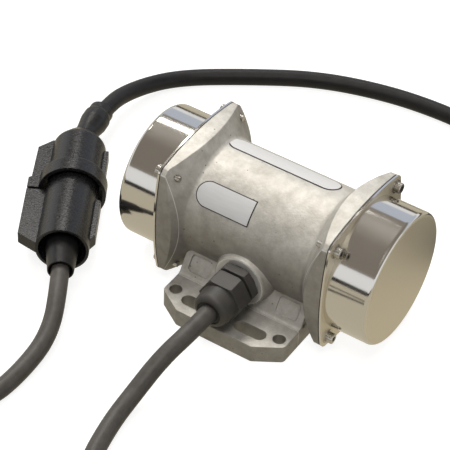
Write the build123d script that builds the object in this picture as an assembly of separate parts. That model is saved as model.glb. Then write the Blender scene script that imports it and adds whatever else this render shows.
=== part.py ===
"""External vibration motor with cast foot housing, weight covers, in-line connector and supply lead.

Frame in millimetres: X along the rotor shaft, Y to the rear, Z up.
The origin is on the mounting face, midway between the four feet holes, under the shaft.
"""
from build123d import *
from math import cos, hypot, pi, radians, sin, tan
import os

# Clearances
FIT = 0.05
RUN_GAP = 0.3
BALL_GAP = 0.04
SEAT_GAP = 0.1

# Housing barrel and its two end flanges
SHAFT_HEIGHT = 38.7
BARREL_R = 30.4
FLANGE_FACE = 46.7
FLANGE_HALF = 32.6
FLANGE_BULGE = 3.9
FLANGE_CORNER_R = 5.0
FLANGE_RIM = 2.8
CONE_START = 33.6
CONE_END_R = 45.0
CONE_FILLET = 3.0

# Foot, its fixing holes and the neck that carries the barrel
FOOT_T = 10.0
FOOT_HALF_X = 35.2
FOOT_HALF_Y = 54.5
FOOT_SIDE_Y = 46.0
FOOT_FRONT_X = 21.7
FOOT_CORNER_R = 3.0
HOLE_R = 3.25
HOLE_X = 30.0
HOLE_Y = 42.5
SLOT_R = 3.5
SLOT_X = 15.4
SLOT_Y = 45.5
SLOT_LENGTH = 17.3
NECK_BASE_Y = 32.0
NECK_TOP_Y = 24.4
NECK_TOP_Z = 21.6
NECK_FILLET = 3.0
PANEL_X = 25.5
PANEL_W = 12.0
PANEL_H = 9.0
PANEL_DEPTH = 1.2
PANEL_CORNER_R = 2.0
PANEL_RISE = 0.6

# Cable gland and the boss that takes it
GLAND_Z = 24.3
BOSS_FACE_Y = 33.0
BOSS_ROOT_Y = 16.0
BOSS_FACE_R = 13.8
BOSS_ROOT_R = 18.6
BOSS_EDGE_R = 1.2
GLAND_THREAD_R = 8.0
GLAND_BORE_R = 5.2
GLAND_HEX = 21.0
GLAND_STEM_L = 6.4
GLAND_WASHER_T = 0.8
GLAND_WASHER_R = 10.0
GLAND_FLANGE_T = 4.8
GLAND_GAP = 1.6
NUT_HEX_L = 9.8
NUT_LENGTH = 19.3
NUT_NOSE_R = 9.25
NUT_NOSE_ROUND = 3.0
NUT_LAND = 1.0
NUT_FACE_INSET = 0.2
HEX_CHAMFER = 0.9
HEX_CHAMFER_L = 0.6
SEAL_R = 6.9
SEAL_TIP_R = 6.3
SEAL_L = 10.2
DUCT_HALF_X = 9.0
DUCT_DEPTH = 10.0
DUCT_INSET = 4.5
POCKET_RISE = 6.0
POCKET_WALL = 4.0
GLAND_HOLE_L = 6.0
POCKET_HALF_X = 26.0
POCKET_FLOOR = 5.5

# Rotor shaft, stator and windings
SHAFT_R = 8.5
BEARING_BORE_R = 7.5
WEIGHT_SEAT_R = 7.0
SHAFT_END = 68.0
STACK_HALF = 18.0
STATOR_R = 26.5
AIR_GAP = 0.3
ROTOR_R = 14.0
SLOT_COUNT = 18
SLOT_IN_R = 16.0
SLOT_OUT_R = 22.5
SLOT_IN_W = 3.0
SLOT_OUT_W = 4.6
SLOT_MOUTH_W = 1.4
WINDING_GAP = 0.2
WINDING_R = 24.8
WINDING_END = 29.2
BAR_COUNT = 14
BAR_R = 1.4
BAR_PITCH_R = 11.4
WINDING_ROUND_R = 3.0
END_RING_T = 4.0
END_RING_INSET = 0.4

# Bearings and the shields that carry them
BEARING_R = 17.5
BEARING_W = 11.0
BEARING_X = 34.7
BALL_R = 3.0
BALL_COUNT = 8
PITCH_R = (BEARING_BORE_R + BEARING_R) / 2
RACE_GAP = 2.1
RING_EDGE = 0.5
CAGE_T = 1.2
CAGE_W = 8.0
SHIELD_R = 32.9
SHIELD_T = 3.0
SHIELD_WEB_X = 40.0
SHIELD_SPIGOT_X = 36.0
SHIELD_HUB_R = 21.5
SHIELD_LIP_R = 15.0
SHIELD_LIP_T = 1.8
SHIELD_SCREW_R = 29.6
SHIELD_SCREW_L = 8.0
SHIELD_HEAD_R = 2.8
SHIELD_HEAD_T = 1.6
SHIELD_HEAD_RIM = 0.3
DRIVE_SLOT_W = 0.7
DRIVE_SLOT_T = 0.6

# Eccentric weights
WEIGHT_R = 30.0
WEIGHT_ANGLE = 75.0
HUB_R = 12.5
HUB_NECK_R = 10.2
FIXED_X = 50.6
FIXED_T = 7.0
ADJUST_T = 7.6
WEIGHT_GAP = 0.4
KEY_W = 4.0
KEY_H = 4.0
LUG_HALF_W = 7.0
LUG_TOP = 17.6
LUG_SCREW_Z = 13.6
SLIT_W = 1.6
CLIP_T = 1.1
CLIP_R = 9.0
CLIP_MOUTH_W = 5.0
CLIP_GROOVE = 0.8
SHAFT_EDGE = 0.6
SEAT_STEP = 1.0
SET_SCREW_INSET = 0.4
SET_HEX = 1.5
SET_HEX_T = 1.5
CLAMP_HEAD_R = 2.7

# Covers with their gaskets, screws and washers
COVER_END = 70.8
COVER_R = 34.7
COVER_T = 1.0
COVER_EDGE_R = 2.2
COVER_ROOT_R = 1.5
GASKET_T = 0.5
SCREW_AT = 28.0
SCREW_R = 1.5
SCREW_HEAD_R = 2.75
SCREW_HEAD_H = 3.0
SCREW_HEX = 2.5
SCREW_EDGE = 0.3
SCREW_TIP_X = 38.6
WASHER_R = 3.6
WASHER_T = 0.6

# Flexible leads
CORD_R = 4.6
CORD_Z = 4.65
MAX_SHARE = 0.45

# In-line connector: the station s runs along its axis from the socket's rear shoulder
CONN_ORIGIN = (-125.3, 8.3, 17.5)
CONN_HEADING = (0.493, -0.870, 0.0)
CONN_BODY_R = 13.8
HOOD_R = 17.4
HOOD_START = 22.0
HOOD_END = 35.0
HOOD_WALL = 1.8
HOOD_RAMP = 4.0
HOOD_EDGE_R = 2.0
HOOD_DEPTH = 7.0
PLUG_R = 13.4
COLLAR_DEPTH = 5.0
COLLAR_SLOPE = 1.0
NOSE_R = 13.0
NOSE_START = 20.0
PLUG_END = 77.0
PLUG_MOUTH_R = 12.0
PLUG_MOUTH_DEPTH = 14.0
PLUG_MOUTH_DRAFT = 0.5
SHOULDER_R = 8.5
SHOULDER_L = 8.0
SHOULDER_EDGE_R = 2.0
SHOULDER_BLEND_R = 4.0
REAR_RECESS_WALL = 1.3
REAR_RECESS_L = 4.0
FIN_T = 6.5
FIN_REACH = 22.9
FIN_START = -2.0
FIN_RISE_END = 4.0
FIN_STEP_AT = 5.0
FIN_STEP_START = 2.0
FIN_STEP_END = 1.5
FIN_SPLIT = 1.6
FIN_END = 70.0
FIN_END_INSET = 0.5
FIN_ROOT = 1.0
RIB_REACH = 15.6
RIB_SLOPE = 2.0
RIB_INSET = 4.0
RIB_END = 68.0
PIN_R = 2.0
PIN_PITCH = 7.0
PIN_L = 17.0
PIN_ROOT_L = 18.0
PIN_TIP = 1.0
PIN_TIP_STEP = 0.6
PIN_HOLE_SLACK = 2.0
CONTACT_WALL = 0.75
CONTACT_START = 2.0
CONTACT_INSET = 1.0

# Sleeves of the connector: radii from base to mouth, stations along the lead
LEAD_INSET = 2.8
SLEEVE_PROUD = 14.0
SLEEVE_BASE_R = 8.6
SLEEVE_FACE_R = 8.2
SLEEVE_MOUTH_R = 6.6
SLEEVE_MOUTH_WALL = 0.6
SLEEVE_MOUTH_DRAFT = 0.5
SLEEVE_MOUTH_DEPTH = 7.0
SLEEVE_MOUTH_RAMP = 2.0
BULGE_START = 0.8
BULGE_BASE_R = 5.7
BULGE_NECK_R = 6.0
BULGE_NECK_AT = 9.0
BULGE_R = 7.3
BULGE_AT = 17.0
BULGE_L = 5.0
BULGE_ROUND = 3.0
BULGE_STEP = 2.0
BULGE_END_R = 6.6
BULGE_END = 28.0
BULGE_WALL = 1.0
BULGE_BORE_GAP = 0.6

# Coil of the supply lead and the mains plug beside it
COIL_X = 118.0
COIL_Y = 105.3
COIL_MID_R = 46.0
COIL_TURNS_FLOOR = 3
COIL_LIFT = 1.2
COIL_LAYER_RISE = 8.0
COIL_ROUND = 3.5
TIE_W = 8.0
TIE_T = 0.9
TIE_ROUND = 4.0
TIE_INNER_ROUND = 3.2
TIE_ANGLE = 240.0
TAIL_INSET = 16.0
TAIL_L = 26.0
TAIL_TURN = 8.0
MAINS_R = 18.5
MAINS_L = 36.0
MAINS_NECK_R = 10.0
MAINS_WAIST_L = 24.0
MAINS_BOOT_L = 24.0
MAINS_BOOT_R = 6.6
MAINS_AT_X = 168.3
MAINS_AT_Y = 52.0
MAINS_HEADING = 258.0
MAINS_PIN_R = 2.4
MAINS_PIN_L = 19.0
MAINS_PIN_HALF = 9.5
MAINS_PIN_ROOT_L = 8.0
MAINS_PIN_TIP = 1.2
MAINS_BOOT_END_R = 8.2
MAINS_SWELL_R = 13.0
MAINS_SWELL_ROUND = 6.0
MAINS_EDGE_R = 1.0

MOTOR = Plane(origin=(0, 0, SHAFT_HEIGHT), x_dir=(0, 1, 0), z_dir=(1, 0, 0)).location
GLAND = Plane(origin=(0, -BOSS_FACE_Y, GLAND_Z), x_dir=(1, 0, 0), z_dir=(0, -1, 0)).location
COVER_FACE = FLANGE_FACE + GASKET_T + COVER_T
CORNERS = [(SCREW_AT * a, SCREW_AT * b) for a in (-1, 1) for b in (-1, 1)]


def turned(points, *edges_to_round):
    """Solid of revolution about Z from (radius, station) points; rounds are (index, radius)."""
    outline = Polyline(*[(r, 0, z) for r, z in points], close=True)
    face = make_face(outline)
    for index, radius in edges_to_round:
        r, z = points[index]
        corner = face.vertices().sort_by_distance((r, 0, z))[0]
        face = fillet(corner, radius)
    return revolve(face, Axis.Z)


def tube(outer, inner, start, end):
    """Plain ring about Z between two stations."""
    return Pos(0, 0, start) * extrude(Circle(outer) - Circle(inner), end - start)


def rod(radius, start, end):
    """Plain cylinder about Z between two stations."""
    return Pos(0, 0, start) * extrude(Circle(radius), end - start)


def around(piece, count, first=0.0):
    """Copies of a piece at equal angles about Z."""
    return [Rot(0, 0, first + 360 * i / count) * piece for i in range(count)]


def arched_square(half, bulge, corner_r):
    """Square with bowed sides and rounded corners."""
    corners = [(half, half), (-half, half), (-half, -half), (half, -half)]
    crown = half + bulge
    crowns = [(0, crown), (-crown, 0), (0, -crown), (crown, 0)]
    sides = [ThreePointArc(corners[i], crowns[i], corners[(i + 1) % 4]) for i in range(4)]
    return fillet(make_face(sides).vertices(), corner_r)


def lead_path(points):
    """Runs joined by arcs, each arc as large as its two runs allow."""
    stops = [Vector(*p) for p in points]
    radii = []
    for before, here, after in zip(stops, stops[1:], stops[2:]):
        turn = radians((here - before).get_angle(after - here))
        shorter = min((here - before).length, (after - here).length)
        radii.append(MAX_SHARE * shorter / tan(turn / 2))
    return FilletPolyline(*stops, radius=radii), radii


def lead(name, points):
    """Round tube of the lead's own diameter along its route."""
    path, radii = lead_path(points)
    section = Plane(origin=path @ 0, z_dir=path % 0) * Circle(CORD_R)
    solid = sweep(section, path=path)
    print(name, "arc radii", [round(r) for r in radii])
    print(name, "length", round(path.length, 1),
          "volume ratio", round(solid.volume / (pi * CORD_R ** 2 * path.length), 4))
    return solid


def housing():
    """One casting: barrel, cone-backed flanges, neck, foot and gland boss."""
    rim_back = FLANGE_FACE - FLANGE_RIM
    barrel = turned([(0, -FLANGE_FACE), (CONE_END_R, -FLANGE_FACE), (CONE_END_R, -rim_back),
                     (BARREL_R, -CONE_START), (BARREL_R, CONE_START),
                     (CONE_END_R, rim_back), (CONE_END_R, FLANGE_FACE), (0, FLANGE_FACE)],
                    (3, CONE_FILLET), (4, CONE_FILLET))
    outline = arched_square(FLANGE_HALF, FLANGE_BULGE, FLANGE_CORNER_R)
    prism = Pos(0, 0, -FLANGE_FACE) * extrude(outline, 2 * FLANGE_FACE)
    body = MOTOR * (barrel & prism)
    body += foot_and_neck()
    boss = GLAND * turned([(0, BOSS_ROOT_Y - BOSS_FACE_Y), (BOSS_ROOT_R, BOSS_ROOT_Y - BOSS_FACE_Y),
                           (BOSS_FACE_R, 0), (0, 0)], (2, BOSS_EDGE_R))
    body += boss
    bore_r = STATOR_R + FIT
    body -= MOTOR * rod(bore_r, -FLANGE_FACE, FLANGE_FACE)
    recess = SHIELD_T + SEAT_GAP
    for side in (-1, 1):
        body -= MOTOR * Pos(0, 0, side * (FLANGE_FACE - recess / 2)) * Cylinder(SHIELD_R + FIT, recess)
        depth = FLANGE_FACE - SHIELD_SPIGOT_X
        for hole in around(Pos(SHIELD_SCREW_R, 0, 0) * Cylinder(SCREW_R + FIT, depth), 4):
            body -= MOTOR * Pos(0, 0, side * (FLANGE_FACE - depth / 2)) * hole
        for y, z in CORNERS:
            body -= MOTOR * Pos(y, z, side * FLANGE_FACE) * Cylinder(SCREW_R + FIT, 2 * FLANGE_FACE - 2 * CONE_START)
    body -= GLAND * rod(GLAND_THREAD_R + FIT, BARREL_R - BOSS_FACE_Y - GLAND_HOLE_L, SEAT_GAP)
    duct_top = GLAND_Z + GLAND_THREAD_R / 2
    duct = Pos(0, DUCT_INSET - (BARREL_R + NECK_TOP_Y) / 2, (POCKET_FLOOR + duct_top) / 2)
    body -= duct * Box(2 * DUCT_HALF_X, DUCT_DEPTH, duct_top - POCKET_FLOOR)
    pocket_top = SHAFT_HEIGHT - STATOR_R + POCKET_RISE
    pocket = Pos(0, 0, (POCKET_FLOOR + pocket_top) / 2)
    body -= pocket * Box(2 * POCKET_HALF_X, 2 * (NECK_TOP_Y - POCKET_WALL), pocket_top - POCKET_FLOOR)
    return body


def foot_and_neck():
    """Chamfered foot with its holes and slots, and the leaning walls of the neck."""
    half = [(NECK_BASE_Y, FOOT_T), (NECK_TOP_Y, NECK_TOP_Z)]
    right = [(FOOT_HALF_Y, 0), (FOOT_HALF_Y, FOOT_T)] + half + [(BARREL_R / 2, SHAFT_HEIGHT)]
    left = [(-y, z) for y, z in reversed(right)]
    section = make_face(Polyline(*[(0, y, z) for y, z in right + left], close=True))
    roots = [v for v in section.vertices()
             if abs(abs(v.Y) - NECK_BASE_Y) < 0.01 and abs(v.Z - FOOT_T) < 0.01]
    section = fillet(roots, NECK_FILLET)
    block = Pos(-FOOT_HALF_X, 0, 0) * extrude(section, 2 * FOOT_HALF_X, dir=(1, 0, 0))
    plan = [(FOOT_HALF_X, FOOT_SIDE_Y), (FOOT_FRONT_X, FOOT_HALF_Y),
            (-FOOT_FRONT_X, FOOT_HALF_Y), (-FOOT_HALF_X, FOOT_SIDE_Y)]
    plan += [(-x, -y) for x, y in plan]
    outline = fillet(make_face(Polyline(*plan, close=True)).vertices(), FOOT_CORNER_R)
    block = block & extrude(outline, SHAFT_HEIGHT)
    wall_mid_y = (NECK_BASE_Y + NECK_TOP_Y) / 2
    wall_mid_z = (FOOT_T + NECK_TOP_Z) / 2
    lean = Vector(0, NECK_TOP_Z - FOOT_T, NECK_BASE_Y - NECK_TOP_Y).normalized()
    for side in (-1, 1):
        for end in (-1, 1):
            face = Plane(origin=(end * PANEL_X, side * wall_mid_y, wall_mid_z + PANEL_RISE),
                         x_dir=(1, 0, 0), z_dir=(0, side * lean.Y, lean.Z))
            panel = extrude(RectangleRounded(PANEL_W, PANEL_H, PANEL_CORNER_R), 2 * PANEL_DEPTH)
            block -= face.location * Pos(0, 0, -PANEL_DEPTH) * panel
            block -= Pos(end * HOLE_X, side * HOLE_Y, 0) * rod(HOLE_R, -1, FOOT_T + 1)
            slot = extrude(SlotOverall(SLOT_LENGTH, 2 * SLOT_R), FOOT_T + 4)
            block -= Pos(end * SLOT_X, side * SLOT_Y, -1) * slot
    return block


def cover():
    """Drawn cup with a thin flange; screws clamp it over the weights."""
    base = FLANGE_FACE + GASKET_T
    plate = Pos(0, 0, base) * extrude(
        arched_square(FLANGE_HALF, FLANGE_BULGE, FLANGE_CORNER_R), COVER_T)
    flare = COVER_R + COVER_ROOT_R
    outer = turned([(0, base), (flare, base), (flare, COVER_FACE), (COVER_R, COVER_FACE),
                    (COVER_R, COVER_END), (0, COVER_END)], (4, COVER_EDGE_R))
    inside = COVER_R - COVER_T
    hollow = turned([(0, base - 1), (inside, base - 1), (inside, COVER_END - COVER_T),
                     (0, COVER_END - COVER_T)], (2, COVER_EDGE_R - COVER_T))
    cup = plate + outer - hollow
    for y, z in CORNERS:
        cup -= Pos(y, z, COVER_FACE) * Cylinder(SCREW_R + FIT, 4 * COVER_T)
    return MOTOR * cup


def gasket():
    """Flat seal between the casting and the cover."""
    sheet = arched_square(FLANGE_HALF - SEAT_GAP, FLANGE_BULGE, FLANGE_CORNER_R)
    sheet -= Circle(COVER_R - COVER_T)
    for y, z in CORNERS:
        sheet -= Pos(y, z) * Circle(SCREW_R + FIT)
    return MOTOR * Pos(0, 0, FLANGE_FACE) * extrude(sheet, GASKET_T)


def cover_screws():
    """Four socket-head screws through cover, gasket and flange."""
    seat = COVER_FACE + WASHER_T
    screw = rod(SCREW_R, SCREW_TIP_X, seat) + rod(SCREW_HEAD_R, seat, seat + SCREW_HEAD_H)
    screw = chamfer(screw.faces().sort_by(Axis.Z)[-1].edges(), SCREW_EDGE)
    socket = Pos(0, 0, seat + SCREW_HEAD_H / 2) * extrude(
        RegularPolygon(SCREW_HEX / 2, 6, major_radius=False), SCREW_HEAD_H)
    screw -= socket
    return Compound(children=[MOTOR * Pos(y, z, 0) * screw for y, z in CORNERS])


def cover_washers():
    """One flat washer under each cover screw."""
    washer = tube(WASHER_R, SCREW_R + FIT, COVER_FACE, COVER_FACE + WASHER_T)
    return Compound(children=[MOTOR * Pos(y, z, 0) * washer for y, z in CORNERS])


def bearing_shield():
    """Turned shield: flange in the casting's recess, spigot in its bore, hub for the bearing."""
    outer_face = FLANGE_FACE - SEAT_GAP
    flange_back = outer_face - SHIELD_T
    lip_back = BEARING_X - SHIELD_LIP_T
    shield = turned([(SHIELD_LIP_R, lip_back), (SHIELD_HUB_R, lip_back),
                     (SHIELD_HUB_R, SHIELD_WEB_X), (STATOR_R - 2, SHIELD_WEB_X),
                     (STATOR_R - 2, SHIELD_SPIGOT_X), (STATOR_R, SHIELD_SPIGOT_X),
                     (STATOR_R, flange_back), (SHIELD_R, flange_back), (SHIELD_R, outer_face),
                     (BEARING_R + FIT, outer_face), (BEARING_R + FIT, BEARING_X - FIT),
                     (SHIELD_LIP_R, BEARING_X - FIT)], (2, 1.5))
    for seat in around(Pos(SHIELD_SCREW_R, 0, 0) * shield_screw(FIT), 4):
        shield -= seat
    return MOTOR * shield


def shield_screw(ease):
    """Countersunk screw of the shield, grown by an ease for its hole."""
    top = FLANGE_FACE - SEAT_GAP
    tip = top - SHIELD_SCREW_L - ease
    rim = SHIELD_HEAD_R + ease
    return turned([(0, tip), (SCREW_R + ease, tip), (SCREW_R + ease, top - SHIELD_HEAD_T),
                   (rim, top - SHIELD_HEAD_RIM), (rim, top), (0, top)])


def shield_screws():
    """Four countersunk screws holding the shield in the casting."""
    slot = Pos(0, 0, FLANGE_FACE - SEAT_GAP) * Box(2 * SCREW_R, DRIVE_SLOT_W, 2 * DRIVE_SLOT_T)
    screw = shield_screw(0) - slot
    spaced = around(Pos(SHIELD_SCREW_R, 0, 0) * screw, 4)
    return Compound(children=[MOTOR * s for s in spaced])


def groove():
    """Ball track: a ring a little wider than the balls, at mid-width of the bearing."""
    track = Pos(PITCH_R, 0, BEARING_X + BEARING_W / 2) * Rot(90, 0, 0) * Circle(BALL_R + BALL_GAP)
    return revolve(track, Axis.Z)


def outer_ring():
    """Fixed ring of a deep-groove ball bearing."""
    ring = tube(BEARING_R, PITCH_R + RACE_GAP, BEARING_X, BEARING_X + BEARING_W)
    return MOTOR * (chamfered_ring(ring) - groove())


def inner_ring():
    """Turning ring of the bearing, seated on the shaft."""
    ring = tube(PITCH_R - RACE_GAP, BEARING_BORE_R + FIT / 2, BEARING_X, BEARING_X + BEARING_W)
    return MOTOR * (ring - groove())


def chamfered_ring(ring):
    """Breaks the two outer edges of a ring."""
    rims = ring.edges().filter_by(GeomType.CIRCLE).sort_by(lambda e: e.radius)[-2:]
    return chamfer(rims, RING_EDGE)


def balls():
    """The balls of one bearing."""
    ball = Pos(PITCH_R, 0, BEARING_X + BEARING_W / 2) * Sphere(BALL_R)
    return Compound(children=[MOTOR * b for b in around(ball, BALL_COUNT)])


def ball_cage():
    """Ring that keeps the balls apart."""
    mid = BEARING_X + BEARING_W / 2
    cage = tube(PITCH_R + CAGE_T / 2, PITCH_R - CAGE_T / 2, mid - CAGE_W / 2, mid + CAGE_W / 2)
    window = Pos(PITCH_R, 0, mid) * Rot(0, 90, 0) * Cylinder(BALL_R + 2 * BALL_GAP, 3 * CAGE_T)
    for hole in around(window, BALL_COUNT):
        cage -= hole
    return MOTOR * cage


def slot_outline(ease):
    """Stator slot in plan, drawn smaller by an ease for the coil side in it."""
    return make_face(Polyline((SLOT_IN_R + ease, -SLOT_IN_W / 2 + ease),
                              (SLOT_OUT_R - ease, -SLOT_OUT_W / 2 + ease),
                              (SLOT_OUT_R - ease, SLOT_OUT_W / 2 - ease),
                              (SLOT_IN_R + ease, SLOT_IN_W / 2 - ease), close=True))


def stator_core():
    """Lamination stack with open slots for the windings."""
    sheet = Circle(STATOR_R) - Circle(ROTOR_R + AIR_GAP)
    mouth_l = SLOT_IN_R - ROTOR_R + 1
    mouth = Pos(SLOT_IN_R - mouth_l / 2 + 0.5, 0) * Rectangle(mouth_l + 1, SLOT_MOUTH_W)
    for slot in around(slot_outline(0) + mouth, SLOT_COUNT):
        sheet -= slot
    return MOTOR * Pos(0, 0, -STACK_HALF) * extrude(sheet, 2 * STACK_HALF)


def stator_winding():
    """Coil sides in the slots and the two winding heads that join them."""
    gap = STACK_HALF + RUN_GAP
    head = turned([(SLOT_IN_R, gap), (WINDING_R, gap), (WINDING_R, WINDING_END),
                   (SLOT_IN_R, WINDING_END)], (2, WINDING_ROUND_R), (3, WINDING_ROUND_R))
    winding = head + mirror(head, about=Plane.XY)
    sides = around(slot_outline(WINDING_GAP), SLOT_COUNT)
    winding += [Pos(0, 0, -gap - 1) * extrude(side, 2 * gap + 2) for side in sides]
    return MOTOR * winding


def rotor_core():
    """Rotor stack with closed holes for the cage bars."""
    sheet = Circle(ROTOR_R) - Circle(SHAFT_R + FIT / 2)
    for bar in around(Pos(BAR_PITCH_R, 0) * Circle(BAR_R + FIT), BAR_COUNT):
        sheet -= bar
    return MOTOR * Pos(0, 0, -STACK_HALF) * extrude(sheet, 2 * STACK_HALF)


def rotor_cage():
    """Cast cage: bars through the stack, joined by an end ring at each side."""
    start = STACK_HALF + FIT
    ring = tube(ROTOR_R - END_RING_INSET, SHAFT_R + END_RING_INSET, start, start + END_RING_T)
    cage = ring + mirror(ring, about=Plane.XY)
    cage += around(Pos(BAR_PITCH_R, 0, 0) * Cylinder(BAR_R, 2 * start + 1), BAR_COUNT)
    return MOTOR * cage


def clip_x():
    """Inner face of the retaining clip at the shaft's end."""
    return FIXED_X + FIXED_T + WEIGHT_GAP + ADJUST_T + WEIGHT_GAP


def shaft():
    """Stepped shaft with keyways for the fixed weights and grooves for the clips."""
    shoulder = BEARING_X - FIT
    seat_end = FIXED_X - SEAT_STEP
    clip = clip_x()
    half = [(0, 0), (SHAFT_R, 0), (SHAFT_R, shoulder), (BEARING_BORE_R, shoulder),
            (BEARING_BORE_R, seat_end), (WEIGHT_SEAT_R, seat_end), (WEIGHT_SEAT_R, clip),
            (WEIGHT_SEAT_R - CLIP_GROOVE, clip), (WEIGHT_SEAT_R - CLIP_GROOVE, clip + CLIP_T + FIT),
            (WEIGHT_SEAT_R, clip + CLIP_T + FIT), (WEIGHT_SEAT_R, SHAFT_END - SHAFT_EDGE),
            (WEIGHT_SEAT_R - SHAFT_EDGE, SHAFT_END), (0, SHAFT_END)]
    right = turned(half) - key_solid(FIT)
    return MOTOR * (right + mirror(right, about=Plane.XY))


def key_solid(ease):
    """Parallel key below the shaft's centre line, grown by an ease for its seats."""
    length = FIXED_T - 1 + 2 * ease
    middle = Pos(0, -WEIGHT_SEAT_R, FIXED_X + FIXED_T / 2)
    return middle * Box(KEY_W + 2 * ease, KEY_H + 2 * ease, length)


def sector(radius, half_angle):
    """Sector of a disc that hangs straight down from the centre."""
    a = radians(half_angle)
    edge = (radius * sin(a), -radius * cos(a))
    arc = ThreePointArc((-edge[0], edge[1]), (0, -radius), edge)
    return make_face([Line((0, 0), (-edge[0], edge[1])), arc, Line(edge, (0, 0))])


def fixed_weight():
    """Keyed eccentric weight with a hub that reaches the bearing's inner ring."""
    plate = sector(WEIGHT_R, WEIGHT_ANGLE) + Circle(HUB_R)
    weight = Pos(0, 0, FIXED_X) * extrude(plate, FIXED_T)
    weight += rod(HUB_NECK_R, BEARING_X + BEARING_W + FIT, FIXED_X)
    weight -= rod(BEARING_BORE_R + FIT, BEARING_X, FIXED_X - SEAT_STEP + FIT)
    weight -= rod(WEIGHT_SEAT_R + FIT, BEARING_X, FIXED_X + FIXED_T + 1)
    weight -= key_solid(FIT) + Pos(0, 0, -1) * key_solid(FIT)
    weight -= set_screw_axis() * rod(SCREW_R + FIT, 0, HUB_R)
    return MOTOR * weight


def set_screw_axis():
    """Line of the set screw, up from the shaft through the fixed weight's hub."""
    return Plane(origin=(0, 0, FIXED_X + FIXED_T / 2), x_dir=(1, 0, 0), z_dir=(0, 1, 0)).location


def set_screw():
    """Socket set screw that clamps the fixed weight on the shaft."""
    top = HUB_R - SET_SCREW_INSET
    screw = rod(SCREW_R, WEIGHT_SEAT_R + 2 * FIT, top)
    key = Pos(0, 0, top - SET_HEX_T) * extrude(RegularPolygon(SET_HEX / 2, 6, major_radius=False),
                                               2 * SET_HEX_T)
    return MOTOR * set_screw_axis() * (screw - key)


def adjust_x():
    """Inner face of the adjustable weight."""
    return FIXED_X + FIXED_T + WEIGHT_GAP


def clamp_axis():
    """Line of the clamp screw, across the lug of the adjustable weight."""
    return Plane(origin=(0, LUG_SCREW_Z, adjust_x() + ADJUST_T / 2), x_dir=(0, 1, 0),
                 z_dir=(1, 0, 0)).location


def adjustable_weight():
    """Eccentric weight with a split clamping lug, turned about the shaft to set the force."""
    lug = Pos(0, LUG_TOP / 2) * Rectangle(2 * LUG_HALF_W, LUG_TOP)
    plate = sector(WEIGHT_R, WEIGHT_ANGLE) + Circle(HUB_R) + lug
    plate -= Circle(WEIGHT_SEAT_R + SEAT_GAP)
    plate -= Pos(0, LUG_TOP / 2 + 1) * Rectangle(SLIT_W, LUG_TOP + 2)
    weight = Pos(0, 0, adjust_x()) * extrude(plate, ADJUST_T)
    weight -= clamp_axis() * rod(SCREW_R + FIT, -LUG_HALF_W - 1, LUG_HALF_W + 1)
    return MOTOR * weight


def clamp_screw():
    """Socket-head screw that closes the lug."""
    head = rod(CLAMP_HEAD_R, LUG_HALF_W, LUG_HALF_W + SCREW_HEAD_H)
    screw = rod(SCREW_R, -LUG_HALF_W, LUG_HALF_W) + head
    key = Pos(0, 0, LUG_HALF_W + SCREW_HEAD_H / 2) * extrude(
        RegularPolygon(SCREW_HEX / 2, 6, major_radius=False), SCREW_HEAD_H)
    return MOTOR * clamp_axis() * (screw - key)


def retaining_clip():
    """Open ring in the shaft's groove, outside the adjustable weight."""
    ring = Circle(CLIP_R) - Circle(WEIGHT_SEAT_R - CLIP_GROOVE + FIT)
    ring -= Pos(0, CLIP_R) * Rectangle(CLIP_MOUTH_W, CLIP_R)
    return MOTOR * Pos(0, 0, clip_x() + FIT / 2) * extrude(ring, CLIP_T)


def gland_washer():
    """Sealing washer between the boss and the gland."""
    return GLAND * tube(GLAND_WASHER_R, GLAND_THREAD_R + FIT, 0, GLAND_WASHER_T)


def hexagon(length, start):
    """Hexagonal prism with the chamfered ends of a nut."""
    block = Pos(0, 0, start) * extrude(RegularPolygon(GLAND_HEX / 2, 6, major_radius=False), length)
    corner = GLAND_HEX / 2 / cos(pi / 6)
    end = start + length
    round_off = turned([(0, start), (corner - HEX_CHAMFER, start), (corner, start + HEX_CHAMFER_L),
                        (corner, end - HEX_CHAMFER_L), (corner - HEX_CHAMFER, end), (0, end)])
    return block & round_off


def gland_body():
    """Threaded body: stem in the boss, hexagon outside it, thread for the nut."""
    hex_end = GLAND_WASHER_T + GLAND_FLANGE_T
    thread_end = hex_end + GLAND_GAP + NUT_HEX_L - NUT_LAND
    body = rod(GLAND_THREAD_R, -GLAND_STEM_L, thread_end)
    body += hexagon(GLAND_FLANGE_T, GLAND_WASHER_T)
    return GLAND * (body - rod(GLAND_BORE_R, -GLAND_STEM_L - 1, thread_end + 1))


def nut_start():
    """Station of the nut's inner end."""
    return GLAND_WASHER_T + GLAND_FLANGE_T + GLAND_GAP


def gland_nut():
    """Dome nut: hexagon, then a rounded nose over the seal."""
    start = nut_start()
    hex_end = start + NUT_HEX_L
    end = start + NUT_LENGTH
    nut = hexagon(NUT_HEX_L, start)
    land = hex_end - NUT_LAND
    nut += turned([(0, land), (GLAND_HEX / 2 - NUT_FACE_INSET, land), (NUT_NOSE_R + NUT_LAND / 2, hex_end),
                   (NUT_NOSE_R, end), (0, end)], (3, NUT_NOSE_ROUND))
    nut -= rod(GLAND_THREAD_R + FIT, start - 1, land + FIT)
    nut -= turned([(0, land), (SEAL_R + FIT, land), (SEAL_TIP_R + FIT, end + 1), (0, end + 1)])
    return GLAND * nut


def gland_seal():
    """Rubber sleeve that the nut squeezes round the lead."""
    start = nut_start() + NUT_HEX_L - NUT_LAND + 2 * FIT
    end = start + SEAL_L
    sleeve = turned([(CORD_R + FIT, start), (SEAL_R - FIT, start), (SEAL_TIP_R - FIT, end),
                     (CORD_R + FIT, end)])
    return GLAND * sleeve


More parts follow.
